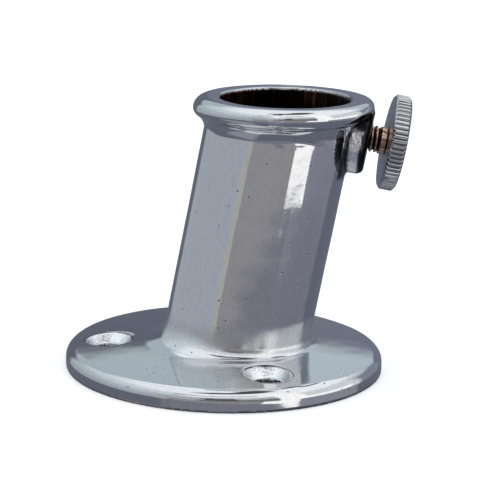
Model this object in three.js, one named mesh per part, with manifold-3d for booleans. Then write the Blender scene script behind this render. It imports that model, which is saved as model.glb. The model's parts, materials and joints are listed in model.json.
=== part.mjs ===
// A leaning stanchion base for a 16 mm pole, as a THREE.Group in millimetres with +Z up.
//
// The origin is the centre of the flange's underside. The socket leans towards +X, and the
// thumb screw that clamps the pole is on that side too. The three pieces are:
//   socket_casting  one brass casting: round deck flange, leaning socket, rolled rim, screw lug
//   clamp_stud      the threaded stud of the thumb screw
//   knurled_disc    the disc head that is pressed on the stud's spigot
import * as THREE from "three";
import { mergeVertices } from "three/addons/utils/BufferGeometryUtils.js";
import Module from "manifold-3d";

// ---- Driving dimensions ------------------------------------------------------------------

const poleRadius = 8;
const lean = THREE.MathUtils.degToRad(10);

const flange = {
  radius: 20.5,
  wallHeight: 1.45,
  shoulderRadius: 1.3,
  crownHeight: 3.9,
  edgeBreak: 0.25,
};

const deckHoles = {
  angles: [55, 180, 291].map(THREE.MathUtils.degToRad),
  circleRadius: 15.05,
  radius: 1.9,
  sinkRadius: 3.05,
  sinkTop: 3.2,
};

const socket = {
  offset: 0.83, // where the socket's axis meets the deck, towards +X
  boreRadius: poleRadius + 0.1,
  radius: poleRadius + 1.4,
  footHeight: 1, // where its solid starts, inside the flange
  rootFillet: 1.6,
  rootHeight: 3.35,
  mouthHeight: 35.37,
  mouthChamfer: 0.4,
};

const rim = {
  ringRadius: 10.25,
  ringHeight: 34.35,
  sectionRadius: 1.1,
  neckRadius: 2.2,
  lipAngle: THREE.MathUtils.degToRad(92), // where the bead ends and the nearly level lip begins
};

const screw = {
  height: 32.4, // where its axis crosses the socket's axis, above the deck
  radius: 1.75,
  crestRadius: 1.7,
  rootRadius: 1.38,
  pitch: 0.6,
  crestShare: 1 / 8, // of the pitch, as flats on the thread's crest and root
  rootShare: 1 / 4,
  tip: 8.4, // these four are distances from the socket's axis
  collar: 12.75,
  headFace: 13.65,
  spigotEnd: 14.9,
  spigotRadius: 1.1,
  chamfer: 0.3,
};

const lug = {
  radius: 11.5, // its outer face is round the socket's axis
  halfWidth: 3.8,
  drop: 4.95, // from the screw's axis to its lower end
  edgeRadius: 1.2,
};

const head = {
  radius: 6.1,
  thickness: 2.05,
  teeth: 60,
  toothDepth: 0.28,
  crestShare: 0.3, // of a tooth's pitch
  bevel: 0.25,
};

const runningGap = 0.1; // between the stud and the bores round it
const overrun = 1; // how far a cutter runs past the solid that it cuts

// ---- Materials ---------------------------------------------------------------------------

const chrome = new THREE.MeshStandardMaterial({ color: 0xc9ced4, metalness: 1, roughness: 0.08 });
const brass = new THREE.MeshStandardMaterial({ color: 0xb5825a, metalness: 1, roughness: 0.3 });

// ---- Solids ------------------------------------------------------------------------------

const wasm = await Module();
wasm.setup();

/** The closed solid that a geometry bounds, ready to be joined and cut. */
function solidFrom(geometry) {
  const bare = geometry.clone();
  bare.deleteAttribute("normal");
  bare.deleteAttribute("uv");
  const shared = mergeVertices(bare, 1e-4);
  return new wasm.Manifold(
    new wasm.Mesh({
      numProp: 3,
      vertProperties: shared.attributes.position.array,
      triVerts: new Uint32Array(shared.index.array),
    }),
  );
}

/** A named, flat-shaded mesh of a solid. */
function meshFrom(solid, name, material) {
  const { vertProperties, triVerts } = solid.getMesh();
  const geometry = new THREE.BufferGeometry();
  geometry.setAttribute("position", new THREE.BufferAttribute(vertProperties, 3));
  geometry.setIndex(new THREE.BufferAttribute(triVerts, 1));
  const faceted = geometry.toNonIndexed();
  faceted.computeVertexNormals();
  const mesh = new THREE.Mesh(faceted, material);
  mesh.name = name;
  return mesh;
}

/** A path in the half plane of a turned solid: x is the radius, y the height. */
function profile(...corners) {
  const path = new THREE.Path();
  const [first, ...rest] = corners;
  path.moveTo(...first);
  rest.forEach((corner) => path.lineTo(...corner));
  return path;
}

/** The solid turned about Z from a path that starts and ends on the axis. */
function turned(path, { around = 48, perArc = 3 } = {}) {
  const points = path.getPoints(perArc);
  return new THREE.LatheGeometry(points, around).rotateX(Math.PI / 2);
}

/** The solid turned about X, for what lies along the thumb screw. */
function turnedAboutX(path, options) {
  return turned(path, options).rotateY(Math.PI / 2);
}

// ---- Frames ------------------------------------------------------------------------------

// The socket is turned upright and then sheared into its lean, so that its mouth, rolled rim
// and root stay parallel to the deck while its bore stays a true leaning cylinder.
const intoLean = new THREE.Matrix4().set(
  1 / Math.cos(lean), 0, Math.tan(lean), socket.offset,
  0, 1, 0, 0,
  0, 0, 1, 0,
  0, 0, 0, 1,
);

// The screw's frame: its X runs out along the screw and its Z up along the socket's axis.
const screwFrame = new THREE.Group();
screwFrame.position.set(socket.offset + screw.height * Math.tan(lean), 0, screw.height);
screwFrame.rotation.y = lean;
screwFrame.updateMatrix();
const intoScrew = screwFrame.matrix;

// ---- Casting -----------------------------------------------------------------------------

/** The flange: a flat underside, an upright edge, a round shoulder and a low dome. */
function flangeBody() {
  const { radius, wallHeight, shoulderRadius, crownHeight, edgeBreak } = flange;
  const reach = radius - shoulderRadius;
  const rise = crownHeight - wallHeight;
  const domeRadius =
    (reach ** 2 + rise ** 2 - shoulderRadius ** 2) / (2 * (rise - shoulderRadius));
  const domeCentre = crownHeight - domeRadius;
  const tangent = Math.atan2(wallHeight - domeCentre, reach);
  const path = profile([0, 0], [radius - edgeBreak, 0], [radius, edgeBreak]);
  path.absarc(reach, wallHeight, shoulderRadius, 0, tangent);
  path.absarc(0, domeCentre, domeRadius, tangent, Math.PI / 2);
  return solidFrom(turned(path, { around: 72 }));
}

/** One deck-screw hole with its countersink. */
function deckHole(angle) {
  const { circleRadius, radius, sinkRadius, sinkTop } = deckHoles;
  const path = profile(
    [0, -overrun],
    [radius, -overrun],
    [radius, sinkTop - (sinkRadius - radius)],
    [sinkRadius + overrun, sinkTop + overrun],
    [0, sinkTop + overrun],
  );
  const hole = turned(path, { around: 24 });
  const x = circleRadius * Math.cos(angle);
  const y = circleRadius * Math.sin(angle);
  return solidFrom(hole.translate(x, y, 0));
}

/** The socket's outside: root fillet, leaning wall, hollow neck, rolled rim and nearly level lip. */
function socketBody() {
  const { radius, footHeight, rootFillet, rootHeight, mouthHeight, boreRadius } = socket;
  const { ringRadius, ringHeight, sectionRadius, neckRadius, lipAngle } = rim;
  const neckX = radius + neckRadius;
  const neckDrop = Math.sqrt((neckRadius + sectionRadius) ** 2 - (neckX - ringRadius) ** 2);
  const neckY = ringHeight - neckDrop;
  const neckToRing = Math.atan2(neckDrop, ringRadius - neckX);
  const footX = radius + rootFillet;
  const path = profile([0, footHeight], [footX, footHeight]);
  path.absarc(footX, rootHeight + rootFillet, rootFillet, -Math.PI / 2, -Math.PI, true);
  path.absarc(neckX, neckY, neckRadius, Math.PI, neckToRing, true);
  path.absarc(ringRadius, ringHeight, sectionRadius, neckToRing - Math.PI, lipAngle);
  path.lineTo(boreRadius, mouthHeight);
  path.lineTo(0, mouthHeight);
  return solidFrom(turned(path, { around: 60 }).applyMatrix4(intoLean));
}

/** What the pole fills, open at both ends, with a chamfer at the mouth. */
function bore() {
  const { boreRadius, mouthHeight, mouthChamfer } = socket;
  const path = profile(
    [0, -overrun],
    [boreRadius, -overrun],
    [boreRadius, mouthHeight - mouthChamfer],
    [boreRadius + 2 * mouthChamfer, mouthHeight + mouthChamfer],
    [0, mouthHeight + mouthChamfer],
  );
  return solidFrom(turned(path, { around: 60 }).applyMatrix4(intoLean));
}

/** The lug: a pad concentric with the socket, cut to a U that hangs from the rolled rim. */
function screwLug() {
  const { radius, halfWidth, drop, edgeRadius } = lug;
  const alongSocket = (rim.ringHeight - screw.height) / Math.cos(lean);
  const top = alongSocket + rim.ringRadius * Math.tan(lean);
  const padPath = profile([0, -drop], [radius - edgeRadius, -drop]);
  padPath.absarc(radius - edgeRadius, edgeRadius - drop, edgeRadius, -Math.PI / 2, 0);
  padPath.lineTo(radius, top);
  padPath.lineTo(0, top);
  const pad = solidFrom(turned(padPath, { around: 90 }));

  const outline = new THREE.Shape();
  outline.absarc(0, halfWidth - drop, halfWidth, Math.PI, 2 * Math.PI);
  outline.lineTo(halfWidth, 2 * top);
  outline.lineTo(-halfWidth, 2 * top);
  const outward = new THREE.Matrix4().makeBasis(
    new THREE.Vector3(0, 1, 0),
    new THREE.Vector3(0, 0, 1),
    new THREE.Vector3(1, 0, 0),
  );
  const block = new THREE.ExtrudeGeometry(outline, {
    depth: radius,
    curveSegments: 12,
    bevelEnabled: false,
  }).translate(0, 0, socket.boreRadius);
  return pad.intersect(solidFrom(block.applyMatrix4(outward))).transform(intoScrew.elements);
}

/** The stud's hole through the lug and the socket's wall, broken at its outer edge. */
function studHole() {
  const radius = screw.radius + runningGap;
  const breakOut = lug.radius - screw.chamfer;
  const path = profile(
    [0, 0],
    [radius, 0],
    [radius, breakOut],
    [radius + overrun, breakOut + overrun],
    [0, breakOut + overrun],
  );
  return solidFrom(turnedAboutX(path, { around: 24 }).applyMatrix4(intoScrew));
}

function socketCasting() {
  let casting = flangeBody().add(socketBody()).add(screwLug());
  casting = casting.subtract(bore()).subtract(studHole());
  for (const angle of deckHoles.angles) {
    casting = casting.subtract(deckHole(angle));
  }
  return meshFrom(casting, "socket_casting", chrome);
}

// ---- Thumb screw -------------------------------------------------------------------------

/** How far out a right-hand thread's surface is, at a height and an angle round it. */
function threadRadius(height, angle) {
  const { crestRadius, rootRadius, pitch, crestShare, rootShare } = screw;
  const turns = height / pitch - angle / (2 * Math.PI);
  const fromCrest = Math.abs(turns - Math.round(turns));
  const crestEnd = crestShare / 2;
  const rootStart = (1 - rootShare) / 2;
  const share = THREE.MathUtils.clamp((fromCrest - crestEnd) / (rootStart - crestEnd), 0, 1);
  return THREE.MathUtils.lerp(crestRadius, rootRadius, share);
}

/** The stud: a threaded shank, a plain collar and the spigot inside the head. */
function clampStud() {
  const { radius, rootRadius, pitch, tip, collar, headFace, spigotEnd, spigotRadius } = screw;
  const shoulder = headFace - runningGap;
  const tipEnd = tip + screw.chamfer;
  const rowsPerPitch = 8;
  const rows = Math.round(((collar - tipEnd) * rowsPerPitch) / pitch);
  const path = profile([0, tip], [rootRadius - screw.chamfer, tip]);
  for (let row = 0; row <= rows; row += 1) {
    path.lineTo(radius, THREE.MathUtils.lerp(tipEnd, collar, row / rows));
  }
  path.lineTo(radius, shoulder);
  path.lineTo(spigotRadius, shoulder);
  path.lineTo(spigotRadius, spigotEnd);
  path.lineTo(0, spigotEnd);

  const stud = turned(path, { around: 16 });
  const points = stud.getAttribute("position");
  for (let i = 0; i < points.count; i += 1) {
    const height = points.getZ(i);
    const angle = Math.atan2(points.getY(i), points.getX(i));
    if (height > tip && height < collar) {
      const scale = threadRadius(height, angle) / radius;
      points.setXY(i, points.getX(i) * scale, points.getY(i) * scale);
    }
  }
  return meshFrom(solidFrom(stud.rotateY(Math.PI / 2)), "clamp_stud", brass);
}

/** The head: a straight-knurled disc with a blind hole for the stud's spigot. */
function knurledDisc() {
  const { radius, thickness, teeth, toothDepth, crestShare, bevel } = head;
  const crest = radius - bevel;
  const tooth = [
    [-crestShare / 2, crest],
    [crestShare / 2, crest],
    [1 / 2, crest - toothDepth],
  ];
  const corners = [];
  for (let i = 0; i < teeth; i += 1) {
    for (const [turn, reach] of tooth) {
      const angle = ((i + turn) * 2 * Math.PI) / teeth;
      corners.push(new THREE.Vector2(reach * Math.cos(angle), reach * Math.sin(angle)));
    }
  }
  const disc = new THREE.ExtrudeGeometry(new THREE.Shape(corners), {
    depth: thickness - 2 * bevel,
    bevelThickness: bevel,
    bevelSize: bevel,
    bevelSegments: 1,
  });
  disc.translate(0, 0, bevel).rotateY(Math.PI / 2).translate(screw.headFace, 0, 0);
  const seatRadius = screw.spigotRadius + runningGap;
  const seatEnd = screw.spigotEnd + runningGap;
  const seat = profile(
    [0, screw.headFace - overrun],
    [seatRadius, screw.headFace - overrun],
    [seatRadius, seatEnd],
    [0, seatEnd],
  );
  const pressed = solidFrom(disc).subtract(solidFrom(turnedAboutX(seat, { around: 16 })));
  return meshFrom(pressed, "knurled_disc", chrome);
}

// ---- Assembly ----------------------------------------------------------------------------

screwFrame.add(clampStud(), knurledDisc());

const stanchionBase = new THREE.Group();
stanchionBase.add(socketCasting(), screwFrame);

export default stanchionBase;
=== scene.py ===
import json
import math

import bpy
import numpy as np
from mathutils import Matrix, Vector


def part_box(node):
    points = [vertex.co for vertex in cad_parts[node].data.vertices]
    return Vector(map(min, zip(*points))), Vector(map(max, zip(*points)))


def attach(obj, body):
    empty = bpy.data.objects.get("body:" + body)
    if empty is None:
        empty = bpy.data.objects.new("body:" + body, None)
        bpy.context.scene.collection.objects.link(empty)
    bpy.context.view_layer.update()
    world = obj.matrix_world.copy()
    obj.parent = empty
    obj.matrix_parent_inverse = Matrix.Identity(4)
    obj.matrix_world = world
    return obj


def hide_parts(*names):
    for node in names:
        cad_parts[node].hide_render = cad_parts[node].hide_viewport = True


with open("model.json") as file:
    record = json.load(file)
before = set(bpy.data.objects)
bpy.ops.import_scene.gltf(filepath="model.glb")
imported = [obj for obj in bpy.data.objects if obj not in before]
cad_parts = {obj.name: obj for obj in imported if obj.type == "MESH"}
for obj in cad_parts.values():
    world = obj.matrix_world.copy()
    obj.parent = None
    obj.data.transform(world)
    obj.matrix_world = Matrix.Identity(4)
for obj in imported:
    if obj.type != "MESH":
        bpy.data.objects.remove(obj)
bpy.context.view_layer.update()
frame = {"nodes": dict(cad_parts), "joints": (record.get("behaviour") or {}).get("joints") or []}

# A leaning stanchion base: one chromed casting, and a thumb screw whose knurled disc turns it.
# The sizes below are in millimetres, in the frame's axes, and the meshes are made in metres.

MM = 0.001
JOINTS = {joint["name"]: joint for joint in frame["joints"]}


def frame_box(node):
    """A CAD node's lowest and highest corners, in millimetres."""
    low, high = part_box(node)
    return np.array(low) / MM, np.array(high) / MM


# ---- Sizes -------------------------------------------------------------------------------

# The socket leans towards +X, and the screw's axis is square to the socket's own.
OUTWARD = np.array(JOINTS["screw_turn"]["axis"])
UPWARD = np.array([-OUTWARD[2], 0.0, OUTWARD[0]])
LEAN = math.asin(UPWARD[0])
SCREW_ORIGIN = np.array(JOINTS["screw_turn"]["pos_m"]) / MM
SOCKET_OFFSET = SCREW_ORIGIN[0] - SCREW_ORIGIN[2] * math.tan(LEAN)

FLANGE_RADIUS = -frame_box("socket_casting")[0][0]
WALL_HEIGHT = 1.45
SHOULDER_RADIUS = 1.3
CROWN_HEIGHT = 3.9
FOOT_EDGE = 0.25

DECK_HOLE_ANGLES = [math.radians(angle) for angle in (55, 180, 291)]
DECK_HOLE_CIRCLE = 15.05
DECK_HOLE_RADIUS = 1.9
SINK_RADIUS = 3.05
SINK_TOP = 3.2
SINK_CLEARANCE = 1.0
SINK_EDGE = 0.22

BORE_RADIUS = 8.1
SOCKET_RADIUS = 9.4
ROOT_FILLET = 1.2
ROOT_FILLET_BEHIND = 2.6
BEHIND_REACH = SOCKET_RADIUS * 0.8
MOUTH_HEIGHT = 35.37
MOUTH_CHAMFER = 0.25
MOUTH_EDGE = 0.12

RING_RADIUS = 10.05
RING_HEIGHT = 34.17
RING_SECTION = 1.25
NECK_RADIUS = 2.2
LIP_ANGLE = math.radians(92)

LUG_RADIUS = 11.5
LUG_HALF_WIDTH = 3.8
LUG_DROP = 4.95
LUG_LOWER_EDGE = 1.2
LUG_EDGE = 0.55
LUG_FILLET = 0.35
STUD_HOLE_RADIUS = 1.85
STUD_HOLE_EDGE = 0.3

# The casting's mesh: its squares, and how its corners are brought onto the exact surface.
CASTING_VOXEL = 0.3
SETTLE_ROUNDS = 8
RELAX_ROUNDS = 4
RESETTLE_ROUNDS = 2
LONGEST_SHIFT = 0.25
LEAST_STEEPNESS = 0.25

# Hand polishing leaves broad shallow waves. The neck and the lug's sides are rougher.
WAVES = 7
POLISH_WAVE = 9.0
POLISH_DEPTH = 0.012
FINE_WAVE = 2.6
FINE_DEPTH = 0.0022
NECK_WAVE = 2.0
NECK_DEPTH = 0.035
NECK_STRETCH = (0.45, 0.45, 1.6)
NECK_LOW = 31.2
NECK_HIGH = 33.3
LUG_WAVE = 1.4
LUG_DEPTH = 0.03
ROOT_ROUGH_TOP = 8.5

# How far the casting's marks reach from its edges: the screw's side of the socket starts at
# LUG_SIDE along the screw, and painted shade lies beside the lug, on its face and above it.
LUG_SIDE = (7.0, 8.0)
LUG_WALL_FOOT = (0.15, 0.35)
LUG_WALL_EDGE = (0.75, 0.5)
LUG_WALL_TOP = (1.0, 1.6)
CREVICE_WIDTH = 1.2
CREVICE_RISE = (0.12, 0.3)
BARE_REACH = 0.16
SINK_REACH = 0.1

# Distances along the screw, from where its axis crosses the socket's.
STUD_TIP = 8.4
COLLAR_START = 12.75
HEAD_FACE = 13.65
SPIGOT_END = 14.9
STUD_RADIUS = 1.75
THREAD_CREST = 1.7
THREAD_ROOT = 1.38
THREAD_PITCH = 0.6
THREAD_CREST_SHARE = 0.24
THREAD_ROWS = 14
TIP_EDGE = 0.3
RUN_OUT_SLOPE = 1.2
COLLAR_EDGE = 0.08
COLLAR_GAP = 0.1
SPIGOT_RADIUS = 1.1
STUD_AROUND = 96

HEAD_RADIUS = 6.1
HEAD_THICKNESS = 2.05
TEETH = 60
TOOTH_DEPTH = 0.28
TOOTH_CREST = 0.3
TOOTH_SAMPLES = 10
HEAD_BEVEL = 0.27
BEVEL_SLOPE = 1.25
BEVEL_ROWS = 7
SEAT_RADIUS = 1.2
SEAT_END = SPIGOT_END + 0.1
FACE_RINGS = (5.5, 4.0, 2.5)
KNURL_FOOT = HEAD_RADIUS - 0.6
SHARP_ANGLE = math.radians(40)


# ---- Implicit shapes ---------------------------------------------------------------------

def round_join(a, b, radius):
    """Two solids joined, with a fillet where they meet. Distances are negative inside."""
    corner = np.hypot(np.maximum(radius - a, 0), np.maximum(radius - b, 0))
    return np.maximum(radius, np.minimum(a, b)) - corner


def round_meet(a, b, radius):
    """What two solids share, with the edge between them rounded off."""
    return -round_join(-a, -b, radius)


def flange_distance(x, y, z):
    """The flange's upright edge, round shoulder and low dome."""
    reach = FLANGE_RADIUS - SHOULDER_RADIUS
    rise = CROWN_HEIGHT - WALL_HEIGHT
    dome = (reach**2 + rise**2 - SHOULDER_RADIUS**2) / (2 * (rise - SHOULDER_RADIUS))
    radius = np.hypot(x, y)
    top = np.hypot(radius, z + dome - CROWN_HEIGHT) - dome
    return round_meet(radius - FLANGE_RADIUS, top, SHOULDER_RADIUS)


def socket_distance(radius, z):
    """The socket's outside, from its radius about the leaning axis and its height."""
    neck_x = SOCKET_RADIUS + NECK_RADIUS
    reach = neck_x - RING_RADIUS
    drop = math.sqrt((NECK_RADIUS + RING_SECTION) ** 2 - reach**2)
    neck_z = RING_HEIGHT - drop
    neck = NECK_RADIUS - np.hypot(radius - neck_x, z - neck_z)
    ring = np.hypot(radius - RING_RADIUS, z - RING_HEIGHT) - RING_SECTION

    lip_x = RING_RADIUS + RING_SECTION * math.cos(LIP_ANGLE)
    lip_z = RING_HEIGHT + RING_SECTION * math.sin(LIP_ANGLE)
    lip = (radius - lip_x) * math.cos(LIP_ANGLE) + (z - lip_z) * math.sin(LIP_ANGLE)

    past_neck = (radius - neck_x) * drop + (z - neck_z) * reach > 0
    side = np.where(z < neck_z, radius - SOCKET_RADIUS, np.where(past_neck, ring, neck))
    return np.where((radius < lip_x) & (z > RING_HEIGHT), lip, side)


def lug_distance(radius, along, across, up):
    """The screw's lug: a pad round the socket, cut to a U that hangs from the rim."""
    round_end = up + LUG_DROP - LUG_HALF_WIDTH
    outline = np.where(round_end < 0, np.hypot(across, round_end), np.abs(across))
    top = (RING_HEIGHT - SCREW_ORIGIN[2]) / math.cos(LEAN) + RING_RADIUS * math.tan(LEAN)
    pad = round_meet(radius - LUG_RADIUS, -LUG_DROP - up, LUG_LOWER_EDGE)
    pad = round_meet(pad, outline - LUG_HALF_WIDTH, LUG_EDGE)
    return np.maximum(np.maximum(pad, up - top), -along)


def smooth_step(value, low, high):
    """0 up to low, 1 from high, and smooth between them."""
    share = np.clip((value - low) / (high - low), 0, 1)
    return share**2 * (3 - 2 * share)


def ripple(points, wavelength, seed):
    """Smooth random waves of about one unit, the same ones for the same seed."""
    random = np.random.default_rng(seed)
    ways = random.normal(size=(WAVES, 3))
    ways *= 2 * math.pi / wavelength / np.linalg.norm(ways, axis=1)[:, None]
    starts = random.uniform(0, 2 * math.pi, WAVES)
    return np.cos(points @ ways.T + starts).sum(1) / math.sqrt(WAVES)


def socket_places(points):
    """Distance from the socket's axis, and the distances along, across and up the screw's."""
    x, y, z = points.T
    radius = np.hypot((x - SOCKET_OFFSET - z * math.tan(LEAN)) * math.cos(LEAN), y)
    from_screw = points - SCREW_ORIGIN
    return radius, from_screw @ OUTWARD, y, from_screw @ UPWARD


def hole_distances(x, y):
    """For each deck hole in turn, how far points are from its axis."""
    for angle in DECK_HOLE_ANGLES:
        aside = x - DECK_HOLE_CIRCLE * math.cos(angle)
        behind = y - DECK_HOLE_CIRCLE * math.sin(angle)
        yield np.hypot(aside, behind)


def lug_side_share(points):
    """1 on the lug's upright side walls, which are left as they were cast."""
    radius, along, across, up = socket_places(points)
    foot, brow = LUG_WALL_FOOT
    off_socket = smooth_step(radius, SOCKET_RADIUS + foot, SOCKET_RADIUS + brow)
    inner, outer = LUG_WALL_EDGE
    off_face = 1 - smooth_step(radius, LUG_RADIUS - inner, LUG_RADIUS - outer)
    below_rim = 1 - smooth_step(up, *LUG_WALL_TOP)
    above_end = smooth_step(up, -LUG_DROP - 0.3, -LUG_DROP)
    beside = smooth_step(LUG_HALF_WIDTH + 0.6 - np.abs(across), 0, 0.2)
    by_screw = smooth_step(along, *LUG_SIDE)
    return off_socket * off_face * (below_rim * above_end) * (by_screw * beside)


def roughness_of_shape(points):
    """The casting's own unevenness, as a distance in or out."""
    z = points[:, 2]
    above = smooth_step(z, NECK_LOW - 0.8, NECK_LOW)
    below = 1 - smooth_step(z, NECK_HIGH - 0.5, NECK_HIGH)
    waves = POLISH_DEPTH * ripple(points, POLISH_WAVE, 1) + FINE_DEPTH * ripple(points, FINE_WAVE, 2)
    ridges = NECK_DEPTH * (above * below) * ripple(points * NECK_STRETCH, NECK_WAVE, 3)
    return waves + ridges + LUG_DEPTH * lug_side_share(points) * ripple(points, LUG_WAVE, 4)


def casting_distance(points):
    """How far points are outside the whole casting."""
    x, y, z = points.T
    radius, along, across, up = socket_places(points)

    solid = socket_distance(radius, z)
    solid = round_join(solid, lug_distance(radius, along, across, up), LUG_FILLET)
    behind = smooth_step(SOCKET_OFFSET + z * math.tan(LEAN) - x, 0, BEHIND_REACH)
    fillet = ROOT_FILLET + (ROOT_FILLET_BEHIND - ROOT_FILLET) * behind
    solid = round_join(solid, flange_distance(x, y, z), fillet)
    solid = solid + roughness_of_shape(points)

    chamfer = (BORE_RADIUS + z - MOUTH_HEIGHT + MOUTH_CHAMFER - radius) * math.sqrt(0.5)
    solid = round_meet(solid, chamfer, MOUTH_EDGE)
    solid = round_meet(solid, BORE_RADIUS - radius, MOUTH_EDGE)

    for reach in hole_distances(x, y):
        sink = (SINK_RADIUS + z - SINK_TOP - reach) * math.sqrt(0.5)
        sink = np.minimum(sink, SINK_TOP + SINK_CLEARANCE - z)
        solid = round_meet(solid, sink, SINK_EDGE)
        solid = round_meet(solid, DECK_HOLE_RADIUS - reach, MOUTH_EDGE)

    reach = np.hypot(across, up)
    flare = (STUD_HOLE_RADIUS + along - LUG_RADIUS + STUD_HOLE_EDGE - reach) * math.sqrt(0.5)
    hole = np.minimum(np.maximum(STUD_HOLE_RADIUS - reach, flare), along)
    solid = round_meet(solid, hole, MOUTH_EDGE)
    return round_meet(solid, -z, FOOT_EDGE)


def gradient(field, points, step=0.01):
    """The slope of a distance field, by central differences."""
    shifts = np.eye(3) * step
    return np.stack([field(points + s) - field(points - s) for s in shifts], 1) / (2 * step)


def settle(field, points, rounds):
    """Points brought onto a field's surface along its slope."""
    for _ in range(rounds):
        slope = gradient(field, points)
        steepness = np.maximum((slope**2).sum(1), LEAST_STEEPNESS)
        shift = field(points) / steepness
        points = points - np.clip(shift, -LONGEST_SHIFT, LONGEST_SHIFT)[:, None] * slope
    return points


# ---- Meshes ------------------------------------------------------------------------------

def mesh_object(name, points, faces):
    """A new mesh object from corners in millimetres."""
    mesh = bpy.data.meshes.new(name)
    mesh.from_pydata((points * MM).tolist(), [], faces)
    obj = bpy.data.objects.new(name, mesh)
    bpy.context.scene.collection.objects.link(obj)
    return obj


def turned_object(name, along, radii):
    """A closed solid round the screw's axis, from each ring's place along it and its radii."""
    rings, around = radii.shape
    angles = np.linspace(0, 2 * math.pi, around, endpoint=False)
    sideways = radii * np.cos(angles)
    upwards = radii * np.sin(angles)
    grid = SCREW_ORIGIN + along[:, None, None] * OUTWARD
    grid = grid + sideways[..., None] * np.array([0, 1, 0]) + upwards[..., None] * UPWARD
    ends = SCREW_ORIGIN + along[[0, -1], None] * OUTWARD
    points = np.vstack([grid.reshape(-1, 3), ends])
    first, last = rings * around, rings * around + 1
    faces = []
    for i in range(around):
        j = (i + 1) % around
        faces.append((first, j, i))
        faces.append((last, first - around + i, first - around + j))
        for row in range(rings - 1):
            low, high = row * around, (row + 1) * around
            faces.append((low + i, low + j, high + j, high + i))
    obj = mesh_object(name, points, faces)
    obj.data.shade_smooth()
    obj.data.set_sharp_from_angle(angle=SHARP_ANGLE)
    return obj


def paint(obj, name, shares):
    """Keeps a number for each corner of a mesh, which its material reads."""
    obj.data.attributes.new(name, "FLOAT", "POINT").data.foreach_set("value", shares)


def corners(obj):
    """A mesh's corners, in millimetres."""
    points = np.empty(len(obj.data.vertices) * 3)
    obj.data.vertices.foreach_get("co", points)
    return points.reshape(-1, 3) / MM


def remeshed(node, name, voxel):
    """A copy of a CAD node, remeshed into small even squares."""
    obj = bpy.data.objects.new(name, frame["nodes"][node].data.copy())
    bpy.context.scene.collection.objects.link(obj)
    remesh = obj.modifiers.new("remesh", "REMESH")
    remesh.mode = "VOXEL"
    remesh.voxel_size = voxel * MM
    graph = bpy.context.evaluated_depsgraph_get()
    mesh = bpy.data.meshes.new_from_object(obj.evaluated_get(graph), depsgraph=graph)
    obj.modifiers.clear()
    obj.data = mesh
    mesh.name = name
    mesh.materials.clear()
    return obj


def fit_to_field(obj, field):
    """Moves a mesh's corners onto a field's surface, evens them out and smooths its shading."""
    mesh = obj.data
    points = settle(field, corners(obj), SETTLE_ROUNDS)
    edges = np.empty(len(mesh.edges) * 2, int)
    mesh.edges.foreach_get("vertices", edges)
    starts, ends = edges.reshape(-1, 2).T
    valence = np.bincount(edges, minlength=len(points))[:, None]
    for _ in range(RELAX_ROUNDS):
        total = np.zeros_like(points)
        np.add.at(total, starts, points[ends])
        np.add.at(total, ends, points[starts])
        shift = total / valence - points
        normal = gradient(field, points)
        normal /= np.linalg.norm(normal, axis=1)[:, None]
        shift -= (shift * normal).sum(1)[:, None] * normal
        points = settle(field, points + shift / 2, RESETTLE_ROUNDS)
    normal = gradient(field, points)
    normal /= np.linalg.norm(normal, axis=1)[:, None]
    mesh.vertices.foreach_set("co", (points * MM).ravel())
    mesh.polygons.foreach_set("use_smooth", [True] * len(mesh.polygons))
    mesh.normals_split_custom_set_from_vertices(normal)
    mesh.update()


def painted_shade_share(points, bores):
    """1 where shade is painted dark: round the lug, on its face as a dark reflection, above it, in the
    bores.
    """
    z = points[:, 2]
    radius, along, across, up = socket_places(points)
    beside = smooth_step(LUG_HALF_WIDTH + CREVICE_WIDTH - np.abs(across), 0, 0.3)
    outside = smooth_step(radius, SOCKET_RADIUS - 0.6, SOCKET_RADIUS - 0.2)
    level = smooth_step(up, -LUG_DROP - 0.6, -LUG_DROP) * (1 - smooth_step(up, 1.4, 2.4))
    by_lug = outside * smooth_step(along, 6.5, 7.5) * beside * level
    low, high = CREVICE_RISE
    crevice = 1 - smooth_step(radius, SOCKET_RADIUS + low, SOCKET_RADIUS + high)
    face = smooth_step(radius, LUG_RADIUS - 0.8, LUG_RADIUS - 0.6)
    under_rim = smooth_step(up, 0.9, 1.4) * smooth_step(along, 8.7, 9.3) * smooth_step(34.4 - z, 0, 0.3)
    return np.maximum(np.maximum(crevice * by_lug, face * by_lug), np.maximum(under_rim, bores))


def paint_casting(obj):
    """Marks where the brass is bare, where shade and dark reflection are painted, and what is rough."""
    points = corners(obj)
    x, y, z = points.T
    radius = socket_places(points)[0]
    bare = smooth_step(BORE_RADIUS + BARE_REACH - radius, 0, 0.1)
    bare = np.maximum(bare, smooth_step(0.3 - z, 0, 0.2))
    sinks = np.zeros(len(points))
    bores = np.zeros(len(points))
    for reach in hole_distances(x, y):
        bore = smooth_step(DECK_HOLE_RADIUS + BARE_REACH - reach, 0, 0.1)
        bores = np.maximum(bores, bore * smooth_step(1.5 - z, 0, 0.5))
        sinks = np.maximum(sinks, smooth_step(SINK_RADIUS + SINK_REACH - reach, 0, 0.3))
    near_socket = smooth_step(SOCKET_RADIUS + 0.7 - radius, 0, 0.5)
    paint(obj, "bare", bare)
    # Painted shade and painted dark reflection, kept at the corners.
    paint(obj, "painted_shade", painted_shade_share(points, bores))
    paint(obj, "rough", np.maximum(lug_side_share(points), sinks * 0.6))
    paint(obj, "brushed", smooth_step(ROOT_ROUGH_TOP - z, 0, 2.5) * near_socket)


casting = remeshed("socket_casting", "chromed_casting", CASTING_VOXEL)
fit_to_field(casting, casting_distance)
paint_casting(casting)
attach(casting, "casting")
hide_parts("socket_casting")


# ---- Thumb screw -------------------------------------------------------------------------

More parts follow.
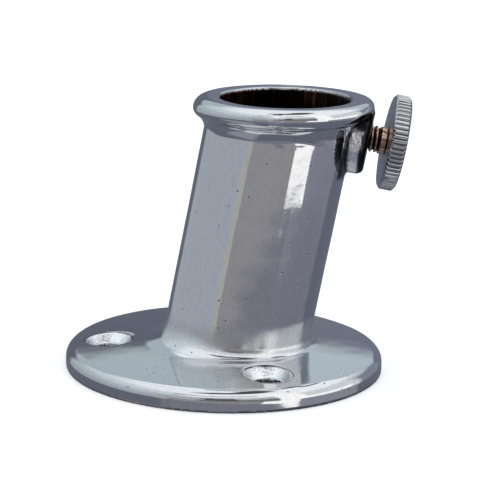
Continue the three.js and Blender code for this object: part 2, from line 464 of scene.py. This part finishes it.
def thread_radius(along, angle):
    """How far out a right-hand thread's surface is, with a flat crest and a rounded root."""
    turns = along / THREAD_PITCH - angle / (2 * math.pi)
    from_crest = np.abs(turns - np.round(turns))
    share = smooth_step(from_crest, THREAD_CREST_SHARE / 2, 0.5)
    return THREAD_CREST + (THREAD_ROOT - THREAD_CREST) * share


def make_stud():
    """The threaded shank, the plain collar and the spigot that the disc is pressed on."""
    angles = np.linspace(0, 2 * math.pi, STUD_AROUND, endpoint=False)
    rows = round((COLLAR_START - STUD_TIP) / THREAD_PITCH * THREAD_ROWS)
    threaded = np.linspace(STUD_TIP, COLLAR_START, rows)
    radii = thread_radius(threaded[:, None], angles[None, :])
    tip_cone = THREAD_ROOT - TIP_EDGE + (threaded - STUD_TIP)
    run_out = THREAD_ROOT + (COLLAR_START - threaded) * RUN_OUT_SLOPE
    radii = np.minimum(radii, np.minimum(tip_cone, run_out)[:, None])
    shoulder = HEAD_FACE - COLLAR_GAP
    collar = [
        (COLLAR_START, STUD_RADIUS - COLLAR_EDGE),
        (COLLAR_START + COLLAR_EDGE, STUD_RADIUS),
        (shoulder - COLLAR_EDGE, STUD_RADIUS),
        (shoulder, STUD_RADIUS - COLLAR_EDGE),
        (shoulder, SPIGOT_RADIUS),
        (SPIGOT_END, SPIGOT_RADIUS),
    ]
    plain = np.array(collar)
    along = np.concatenate([threaded, plain[:, 0]])
    radii = np.vstack([radii, np.repeat(plain[:, 1:], STUD_AROUND, 1)])
    obj = turned_object("turned_stud", along, radii)

    # Painted shade lies down in the thread, at the collar's inner edge and on the spigot.
    shade_mask = smooth_step(THREAD_CREST - radii, 0.04, THREAD_CREST - THREAD_ROOT)
    shade_mask[rows] = 1
    shade_mask[rows + 1:-3] = 0
    shade_mask[-3:] = 1
    paint(obj, "painted_shade", np.append(shade_mask.ravel(), [1, 1]))
    return obj


def make_disc():
    """The straight-knurled disc, with the knurl turned off at both edges."""
    around = TEETH * TOOTH_SAMPLES
    turns = np.arange(around) / TOOTH_SAMPLES % 1
    from_crest = np.minimum(turns, 1 - turns)
    share = np.clip((from_crest - TOOTH_CREST / 2) / (0.5 - TOOTH_CREST / 2), 0, 1)
    tooth = HEAD_RADIUS - TOOTH_DEPTH * (1 - np.cos(math.pi * share)) / 2
    outer_face = HEAD_FACE + HEAD_THICKNESS
    steps = np.linspace(0, HEAD_BEVEL, BEVEL_ROWS)
    cone = HEAD_RADIUS - BEVEL_SLOPE * (HEAD_BEVEL - steps)
    knurl = np.minimum(tooth[None, :], cone[:, None])
    plain = [(SEAT_END, SEAT_RADIUS), (HEAD_FACE, SEAT_RADIUS)]
    plain += [(HEAD_FACE, radius) for radius in FACE_RINGS[::-1]]
    rings = [(place, np.full(around, radius)) for place, radius in plain]
    rings += [(HEAD_FACE + step, ring) for step, ring in zip(steps, knurl)]
    rings += [(outer_face - step, ring) for step, ring in zip(steps[::-1], knurl[::-1])]
    rings += [(outer_face, np.full(around, radius)) for radius in FACE_RINGS]
    along = np.array([ring[0] for ring in rings])
    radii = np.vstack([ring[1] for ring in rings])
    obj = turned_object("knurled_thumb_disc", along, radii)

    # The turned faces are rougher. Painted shade lies round the stud and in the grooves,
    # and a painted dark reflection on the outer edge.
    faces = smooth_step(HEAD_RADIUS - HEAD_BEVEL - radii, 0.1, 0.4)
    hub = 1 - smooth_step(radii, STUD_RADIUS + 0.2, STUD_RADIUS + 0.8)
    hub[along > HEAD_FACE + HEAD_BEVEL] = 0
    hub[0] = 1
    on_knurl = smooth_step(radii, KNURL_FOOT, KNURL_FOOT + 0.1)
    outer_edge = smooth_step(along, outer_face - HEAD_BEVEL, outer_face - HEAD_BEVEL / 2)[:, None]
    shade_mask = np.maximum(outer_edge * on_knurl * 0.6, share * on_knurl * 0.5)
    shade_mask = np.maximum(shade_mask, hub * 0.85)
    paint(obj, "rough", np.append(faces.ravel(), [1, 1]))
    paint(obj, "painted_shade", np.append(shade_mask.ravel(), [1, 0]))
    return obj


stud = make_stud()
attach(stud, "stud")
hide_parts("clamp_stud")

disc = make_disc()
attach(disc, "head")
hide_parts("knurled_disc")


# ---- Materials ---------------------------------------------------------------------------

class Nodes:
    """A node tree that is built up from values."""

    def __init__(self, owner):
        owner.use_nodes = True
        self.tree = owner.node_tree

    def put(self, socket, value):
        """Links one socket to another, or sets its value."""
        if isinstance(value, bpy.types.NodeSocket):
            self.tree.links.new(value, socket)
        else:
            socket.default_value = value

    def add(self, kind, *values, **settings):
        """A new node, with its first inputs put in order."""
        node = self.tree.nodes.new(kind)
        for name, value in settings.items():
            setattr(node, name, value)
        for socket, value in zip(node.inputs, values):
            self.put(socket, value)
        return node

    def math(self, operation, *values):
        return self.add("ShaderNodeMath", *values, operation=operation).outputs[0]

    def between(self, value, low, high, to_low=0.0, to_high=1.0):
        """A smooth change from to_low to to_high as a value goes from low to high."""
        node = self.add("ShaderNodeMapRange", value, low, high, to_low, to_high,
                        interpolation_type="SMOOTHSTEP")
        return node.outputs["Result"]

    def mix(self, share, first, second):
        """One colour turning into another as the share goes from 0 to 1."""
        node = self.add("ShaderNodeMix", data_type="RGBA")
        self.put(node.inputs["Factor"], share)
        sockets = [socket for socket in node.inputs if socket.type == "RGBA"]
        self.put(sockets[0], first)
        self.put(sockets[1], second)
        return next(socket for socket in node.outputs if socket.type == "RGBA")

    def place(self, scale=(1, 1, 1)):
        """Where a point is on its object, in millimetres, stretched by a scale."""
        object_place = self.add("ShaderNodeTexCoord").outputs["Object"]
        node = self.add("ShaderNodeMapping", object_place)
        node.inputs["Scale"].default_value = [factor / MM for factor in scale]
        return node.outputs["Vector"]

    def noise(self, scale, detail=2.0, stretch=(1, 1, 1)):
        """Cloudy noise with so many features to a millimetre."""
        node = self.add("ShaderNodeTexNoise")
        self.put(node.inputs["Vector"], self.place(stretch))
        self.put(node.inputs["Scale"], scale)
        self.put(node.inputs["Detail"], detail)
        return node.outputs["Fac"]

    def painted(self, name):
        """A number kept at the mesh's corners, or 0 where there is none."""
        node = self.add("ShaderNodeAttribute", attribute_name=name)
        return node.outputs["Fac"]

    def pits(self):
        """1 in scattered round pits."""
        cells = self.add("ShaderNodeTexVoronoi")
        self.put(cells.inputs["Vector"], self.place())
        self.put(cells.inputs["Scale"], 1 / PIT_SPACING)
        draw = self.add("ShaderNodeSeparateColor", cells.outputs["Color"]).outputs[0]
        chosen = self.math("LESS_THAN", draw, PIT_SHARE)
        reach = PIT_SIZE / PIT_SPACING
        near = self.between(cells.outputs["Distance"], reach * 0.5, reach, 1.0, 0.0)
        return self.math("MULTIPLY", chosen, near)


def linear(colour):
    """A colour given as 0 to 255 display values, as a linear colour."""
    shares = [channel / 255 for channel in colour]
    return [c / 12.92 if c < 0.04045 else ((c + 0.055) / 1.055) ** 2.4 for c in shares] + [1.0]


CHROME_COLOUR = (0.69, 0.7, 0.71, 1)
FRESH_CHROME = (0.95, 0.95, 0.97, 1)
WORN_CHROME = (0.63, 0.64, 0.66, 1)
# Near black, for painted shade and painted dark reflection.
PAINTED_SHADE_COLOUR = (0.012, 0.011, 0.013, 1)
# Dark of the pits, and of the painted shade line round the deck holes.
PIT_AND_SHADE_COLOUR = (0.1, 0.09, 0.1, 1)
BARE_DARK = (0.012, 0.007, 0.005, 1)
BARE_BROWN = (0.14, 0.065, 0.04, 1)
COPPER = (0.45, 0.2, 0.11, 1)
TURNED_BRASS = (0.55, 0.36, 0.27, 1)
WORN_BRASS = (0.26, 0.15, 0.11, 1)
# Painted shade for the stud's thread.
THREAD_SHADE = (0.02, 0.01, 0.008, 1)

# In millimetres, and the share of the places that have a pit.
PIT_SPACING = 1.1
PIT_SIZE = 0.14
PIT_SHARE = 0.4
HOLE_LINE_RADIUS = 3.12
HOLE_LINE_TOP = 5.0
CAST_BUMP = 0.006
CAST_ROUGHNESS = {"brushed": 0.2, "rough": 0.16, "bare": 0.3, "painted_shade": 0.2}
DISC_BUMP = 0.004


def metal(name, colour, roughness, height, depth):
    """A metal from its colour, its roughness and a height in millimetres times depth."""
    material = bpy.data.materials.new(name)
    nodes = Nodes(material)
    shader = nodes.tree.nodes["Principled BSDF"]
    bump = nodes.add("ShaderNodeBump")
    bump.inputs["Strength"].default_value = 1.0
    bump.inputs["Distance"].default_value = depth * MM
    nodes.put(bump.inputs["Height"], height(nodes))
    nodes.put(shader.inputs["Base Color"], colour(nodes))
    nodes.put(shader.inputs["Roughness"], roughness(nodes))
    nodes.put(shader.inputs["Normal"], bump.outputs["Normal"])
    shader.inputs["Metallic"].default_value = 1.0
    return material


def hole_shade_lines(nodes):
    """1 on the narrow line of painted shade round each deck hole's countersink."""
    x, y, z = nodes.add("ShaderNodeSeparateXYZ", nodes.place()).outputs
    lines = 0.0
    for angle in DECK_HOLE_ANGLES:
        aside = nodes.math("SUBTRACT", x, DECK_HOLE_CIRCLE * math.cos(angle))
        behind = nodes.math("SUBTRACT", y, DECK_HOLE_CIRCLE * math.sin(angle))
        squares = nodes.math("ADD", nodes.math("POWER", aside, 2.0), nodes.math("POWER", behind, 2.0))
        off = nodes.math("SUBTRACT", nodes.math("SQRT", squares), HOLE_LINE_RADIUS)
        line = nodes.between(nodes.math("ABSOLUTE", off), 0.05, 0.14, 1.0, 0.0)
        lines = nodes.math("MAXIMUM", lines, line)
    on_flange = nodes.math("LESS_THAN", z, HOLE_LINE_TOP)
    # Noise makes the painted shade line patchy.
    patchy = nodes.between(nodes.noise(0.7, 1.0), 0.3, 0.5, 0.4, 1.0)
    return nodes.math("MULTIPLY", nodes.math("MULTIPLY", lines, on_flange), patchy)


def cast_chrome():
    """Polished plating with pits, rough places, painted shade and painted dark reflection, and bare
    brass inside.
    """
    def colour(nodes):
        clouds = nodes.between(nodes.noise(2.4, 4.0, (1, 1, 0.45)), 0.35, 0.75)
        chrome = nodes.mix(clouds, CHROME_COLOUR, WORN_CHROME)
        chrome = nodes.mix(nodes.pits(), chrome, PIT_AND_SHADE_COLOUR)
        # Painted shade line round the deck holes.
        chrome = nodes.mix(hole_shade_lines(nodes), chrome, PIT_AND_SHADE_COLOUR)
        chrome = nodes.mix(nodes.painted("rough"), chrome, FRESH_CHROME)
        # Painted shade and dark reflection beside the lug, under the rim and in the bores.
        shade_share = nodes.math("MULTIPLY", nodes.painted("painted_shade"), 0.97)
        chrome = nodes.mix(shade_share, chrome, PAINTED_SHADE_COLOUR)
        streaks = nodes.between(nodes.noise(2.6, 4.0, (1, 1, 0.06)), 0.5, 0.74)
        brass = nodes.mix(streaks, BARE_DARK, BARE_BROWN)
        x = nodes.add("ShaderNodeSeparateXYZ", nodes.place()).outputs[0]
        left = nodes.between(x, 0.5, 3.0, 1.0, 0.0)
        patches = nodes.between(nodes.noise(0.9, 3.0, (1, 1, 0.4)), 0.4, 0.6)
        cleaner = nodes.math("MULTIPLY", nodes.math("MULTIPLY", left, patches), 0.8)
        brass = nodes.mix(cleaner, brass, COPPER)
        return nodes.mix(nodes.painted("bare"), chrome, brass)

    def roughness(nodes):
        total = nodes.between(nodes.noise(0.8, 3.0), 0.3, 0.8, 0.03, 0.07)
        for name, share in CAST_ROUGHNESS.items():
            total = nodes.math("ADD", total, nodes.math("MULTIPLY", nodes.painted(name), share))
        return total

    def height(nodes):
        peel = nodes.math("MULTIPLY", nodes.noise(1.1, 2.0), 0.5)
        brushed = nodes.math("MULTIPLY", nodes.noise(3.2, 2.0, (1, 1, 0.12)), 0.09)
        pitted = nodes.math("MULTIPLY", nodes.pits(), -3.0)
        coarse = nodes.math("MULTIPLY", nodes.painted("rough"), 26.0)
        grain = nodes.math("MULTIPLY", nodes.noise(3.4, 3.0, (1, 1, 0.5)), coarse)
        lines = nodes.noise(3.0, 3.0, (0.3, 0.3, 2))
        scratches = nodes.math("MULTIPLY", lines, nodes.painted("brushed"))
        rough = nodes.math("ADD", grain, scratches)
        return nodes.math("ADD", nodes.math("ADD", peel, brushed), nodes.math("ADD", pitted, rough))

    return metal("cast_chrome", colour, roughness, height, CAST_BUMP)


def turned_chrome():
    """The disc's plating, brighter than the casting's, its turned faces a little matt, with painted
    shade and dark reflection.
    """
    def colour(nodes):
        clouds = nodes.between(nodes.noise(0.6, 3.0), 0.35, 0.75)
        chrome = nodes.mix(clouds, CHROME_COLOUR, WORN_CHROME)
        # Painted shade round the hub and in the knurl, and a painted dark reflection on the outer edge.
        return nodes.mix(nodes.painted("painted_shade"), chrome, PAINTED_SHADE_COLOUR)

    def roughness(nodes):
        polished = nodes.between(nodes.noise(1.2, 3.0), 0.3, 0.8, 0.1, 0.18)
        return nodes.math("ADD", polished, nodes.math("MULTIPLY", nodes.painted("rough"), 0.16))

    def height(nodes):
        return nodes.noise(2.4, 2.0)

    return metal("turned_chrome", colour, roughness, height, DISC_BUMP)


def turned_brass():
    """Copper-brown brass, with painted shade down in the thread."""
    def colour(nodes):
        clouds = nodes.between(nodes.noise(1.1, 3.0), 0.3, 0.75)
        brass = nodes.mix(clouds, TURNED_BRASS, WORN_BRASS)
        # Painted shade in the thread, at the collar's inner edge and on the spigot.
        return nodes.mix(nodes.painted("painted_shade"), brass, THREAD_SHADE)

    def roughness(nodes):
        return nodes.between(nodes.noise(2.0, 3.0), 0.3, 0.8, 0.07, 0.15)

    def height(nodes):
        return nodes.noise(3.0, 2.0)

    return metal("turned_brass", colour, roughness, height, CAST_BUMP)


casting.data.materials.append(cast_chrome())
stud.data.materials.append(turned_brass())
disc.data.materials.append(turned_chrome())


# ---- Studio ------------------------------------------------------------------------------

# What the plating reflects, painted round the horizon. Angles are in degrees: azimuth is 0
# on the camera's side and grows towards +X, and elevation is above the horizon.
# Each patch: azimuths from and to, elevations from and to, softness, tilt, display colour.
BASE_COLOUR = (92, 97, 110)
PATCHES = [
    (-400, 400, -4, 200, 5, 0, (150, 158, 170)),
    (-400, 400, 12, 200, 8, 0, (178, 188, 194)),
    (-400, 400, 36, 200, 8, 0, (232, 237, 242)),
    (-146, -40, -11, 200, 3, 0, (151, 158, 168)),
    (-146, -36, 8, 200, 8, 0, (166, 176, 184)),
    (-146, -36, 28, 200, 10, 0, (190, 202, 208)),
    (-146, -30, 50, 200, 10, 0, (226, 232, 238)),
    (-400, -144, -10, 21, 4, 0, (88, 94, 106)),
    (-400, -144, 21, 44, 4, 0, (160, 173, 182)),
    (144, 400, -10, 18, 4, 0, (103, 109, 122)),
    (144, 400, 18, 44, 4, 0, (168, 180, 190)),
    (112, 146, -10, 24, 5, 0, (120, 126, 138)),
    (60, 114, -12, 34, 4, 0, (200, 206, 210)),
    (-90, -45, -70, -25, 8, 0, (132, 134, 146)),
    (-45, 40, -30, -12, 3, 0, (112, 115, 126)),
    (38, 112, -27, -12, 3, 0, (112, 114, 127)),
    (38, 112, -20, -12, 3, 0, (130, 130, 143)),
    (-39, 42, -14, 2, 1.5, -0.1, (136, 135, 139)),
    (-39, -18, 0, 14, 3, 0, (138, 138, 142)),
    (-39, -18, 10, 34, 5, 0, (166, 170, 174)),
    (-18, 42, 0, 21, 3, 0, (112, 110, 112)),
    (-18, 42, 18, 30, 3, 0, (170, 172, 170)),
    (-45, 30, 46, 51, 1.5, 0, (140, 131, 133)),
    (-48.5, -39.5, -11.5, 24, 1, 0, (159, 161, 157)),
    (41, 61, -10, 60, 1.5, 0, (247, 247, 247)),
    (28, 56, -15.1, -5, 0.8, -0.05, (247, 247, 247)),
    (26, 54.5, -13.1, -11.5, 0.3, -0.115, (247, 247, 247)),
    (56, 104, -9, 7, 2, 0, (245, 247, 248)),
    (-13, 10, 14, 25, 1.5, 0, (66, 63, 68)),
    (-50, 150, 71, 86, 3, 0, (72, 70, 72)),
]


# A thin dark card that only the plating sees, in millimetres.
CARD_SIDES = (-28.0, 12.0)
CARD_FRONT = -100.0
CARD_HEIGHTS = (43.0, 51.0)
CARD_COLOUR = (0.05, 0.045, 0.05, 1)

# The floor is flat out to one radius, and then curves up into a backdrop.
FLOOR_RINGS = (150, 500, 1200)
FLOOR_CURVE = 800
FLOOR_TURNS = np.linspace(0.1, 1.4, 12)
FLOOR_AROUND = 96
FLOOR_COLOUR = (0.85, 0.85, 0.85, 1)
FLOOR_GLOW = 0.35


def reflected(shade):
    """The light that the plating shows as a display colour."""
    return [light / tint for light, tint in zip(linear(shade), CHROME_COLOUR)]


def make_world():
    """A world whose colour depends only on the direction."""
    world = bpy.data.worlds.new("studio")
    bpy.context.scene.world = world
    nodes = Nodes(world)
    direction = nodes.add("ShaderNodeTexCoord").outputs["Generated"]
    x, y, z = nodes.add("ShaderNodeSeparateXYZ", direction).outputs
    azimuth = nodes.math("DEGREES", nodes.math("ARCTAN2", x, nodes.math("MULTIPLY", y, -1.0)))
    elevation = nodes.math("DEGREES", nodes.math("ARCSINE", z))
    colour = reflected(BASE_COLOUR)
    for left, right, low, high, soft, tilt, shade in PATCHES:
        height = nodes.math("SUBTRACT", elevation, nodes.math("MULTIPLY", azimuth, tilt))
        edges = [
            nodes.between(height, low - soft, low + soft),
            nodes.between(height, high - soft, high + soft, 1.0, 0.0),
            nodes.between(azimuth, left - soft, left + soft),
            nodes.between(azimuth, right - soft, right + soft, 1.0, 0.0),
        ]
        share = edges[0]
        for edge in edges[1:]:
            share = nodes.math("MULTIPLY", share, edge)
        colour = nodes.mix(share, colour, reflected(shade))
    nodes.put(nodes.tree.nodes["Background"].inputs["Color"], colour)


def make_card():
    """A small dark card in front and above, which only the plating sees."""
    left, right = CARD_SIDES
    low, high = CARD_HEIGHTS
    outline = [(left, low), (right, low), (right, high), (left, high)]
    points = np.array([(x, CARD_FRONT, z) for x, z in outline])
    card = mesh_object("dark_card", points, [(0, 1, 2, 3)])
    material = bpy.data.materials.new("dark_card")
    nodes = Nodes(material)
    shader = nodes.tree.nodes["Principled BSDF"]
    shader.inputs["Base Color"].default_value = CARD_COLOUR
    shader.inputs["Roughness"].default_value = 1.0
    card.data.materials.append(material)
    card.visible_camera = False
    card.visible_diffuse = False
    card.visible_shadow = False


def make_floor():
    """A pale floor that curves up into a backdrop far behind. The plating doesn't show it."""
    rings = [(radius, 0.0) for radius in FLOOR_RINGS]
    for turn in FLOOR_TURNS:
        radius = FLOOR_RINGS[-1] + FLOOR_CURVE * math.sin(turn)
        rings.append((radius, FLOOR_CURVE - FLOOR_CURVE * math.cos(turn)))
    points = []
    for radius, height in rings:
        for angle in np.linspace(0, 2 * math.pi, FLOOR_AROUND, endpoint=False):
            points.append((radius * math.cos(angle), radius * math.sin(angle), height))
    faces = [tuple(range(FLOOR_AROUND))]
    for row in range(len(rings) - 1):
        low, high = row * FLOOR_AROUND, (row + 1) * FLOOR_AROUND
        for i in range(FLOOR_AROUND):
            j = (i + 1) % FLOOR_AROUND
            faces.append((low + i, high + i, high + j, low + j))
    floor = mesh_object("floor", np.array(points), faces)
    floor.data.shade_smooth()
    material = bpy.data.materials.new("pale_floor")
    nodes = Nodes(material)
    shader = nodes.tree.nodes["Principled BSDF"]
    shader.inputs["Base Color"].default_value = FLOOR_COLOUR
    shader.inputs["Roughness"].default_value = 1.0
    shader.inputs["Specular IOR Level"].default_value = 0.0
    shader.inputs["Emission Color"].default_value = (1, 1, 1, 1)
    shader.inputs["Emission Strength"].default_value = FLOOR_GLOW
    floor.data.materials.append(material)
    floor.visible_glossy = False


make_card()
make_world()
make_floor()
bpy.context.scene.view_settings.view_transform = "Standard"


# ---- Camera ------------------------------------------------------------------------------

CAMERA_ELEVATION = math.radians(13.5985)
CAMERA_AZIMUTH = math.radians(-0.8965)
CAMERA_ROLL = math.radians(1.4205)
CAMERA_DISTANCE = 253.45
CAMERA_TARGET = np.array([3.038, 0, 15.421])
CAMERA_LENS = 141.81
CAMERA_SENSOR = 36


def make_camera():
    """A long lens, a little above the object and slightly rolled."""
    data = bpy.data.cameras.new("camera")
    data.lens = CAMERA_LENS
    data.sensor_width = CAMERA_SENSOR
    data.clip_start = 0.01
    data.clip_end = 10
    camera = bpy.data.objects.new("camera", data)
    bpy.context.scene.collection.objects.link(camera)
    bpy.context.scene.camera = camera
    back = np.array([
        math.sin(CAMERA_AZIMUTH) * math.cos(CAMERA_ELEVATION),
        -math.cos(CAMERA_AZIMUTH) * math.cos(CAMERA_ELEVATION),
        math.sin(CAMERA_ELEVATION),
    ])
    right = np.array([math.cos(CAMERA_AZIMUTH), math.sin(CAMERA_AZIMUTH), 0])
    above = np.cross(back, right)
    rolled_right = math.cos(CAMERA_ROLL) * right + math.sin(CAMERA_ROLL) * above
    rolled_above = math.cos(CAMERA_ROLL) * above - math.sin(CAMERA_ROLL) * right
    turn = Matrix([rolled_right, rolled_above, back]).transposed().to_4x4()
    camera.matrix_world = Matrix.Translation((CAMERA_TARGET + back * CAMERA_DISTANCE) * MM) @ turn


make_camera()
